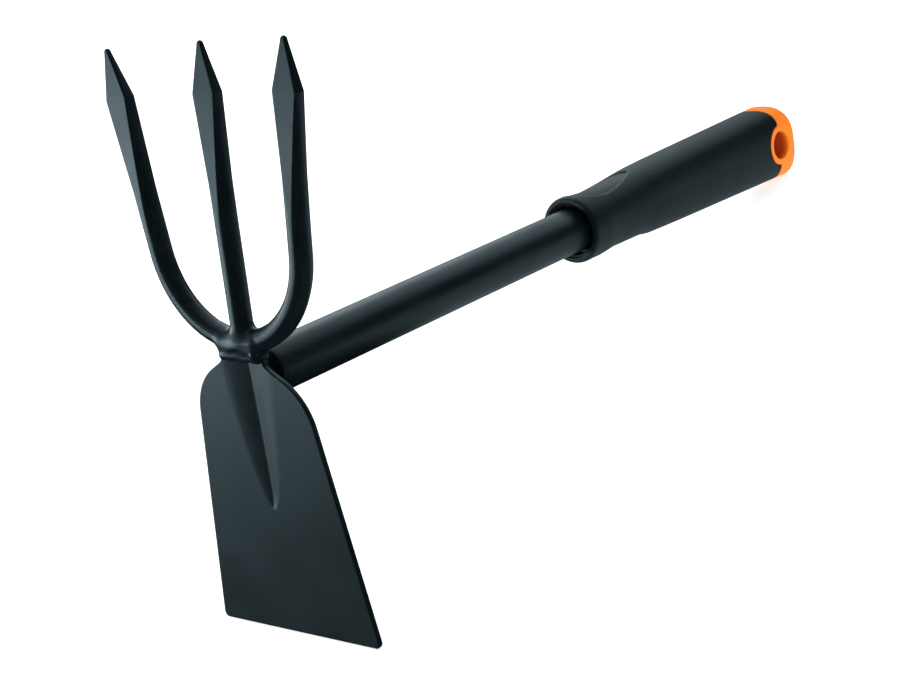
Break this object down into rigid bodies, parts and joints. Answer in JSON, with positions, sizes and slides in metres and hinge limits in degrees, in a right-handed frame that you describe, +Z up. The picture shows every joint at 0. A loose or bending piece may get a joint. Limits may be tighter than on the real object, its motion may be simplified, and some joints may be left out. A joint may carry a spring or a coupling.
{
  "type": "hand hoe",
  "caption": "Short two-sided hand hoe: a flat hoe blade opposite a fork of pointed tines, on a steel tube handle with a moulded soft grip and a hanging hole.",
  "frame": {"origin": "middle of the footprint, on the surface that the tool rests on with its cutting edge and its butt", "axes": "+X runs from the head to the grip along the floor, +Y is across the blade along the hanging hole's axis, +Z is up"},
  "size_m": [0.429, 0.1122, 0.2433],
  "materials": {
    "coated_steel": "satin black powder coat",
    "coated_weld": "satin black powder coat over weld beads",
    "soft_grip": "matt fine-textured soft moulding",
    "grip_core": "satin orange moulded plastic"
  },
  "bodies": {
    "root": {"blade": "coated_steel", "outer_tines": "coated_steel", "centre_tine": "coated_steel", "shank": "coated_steel", "tube_cap": "coated_steel", "handle_tube": "coated_steel", "tine_weld": "coated_weld", "blade_weld": "coated_weld", "tube_weld": "coated_weld", "grip_core": "grip_core", "grip_sleeve": "soft_grip"}
  },
  "joints": []
}
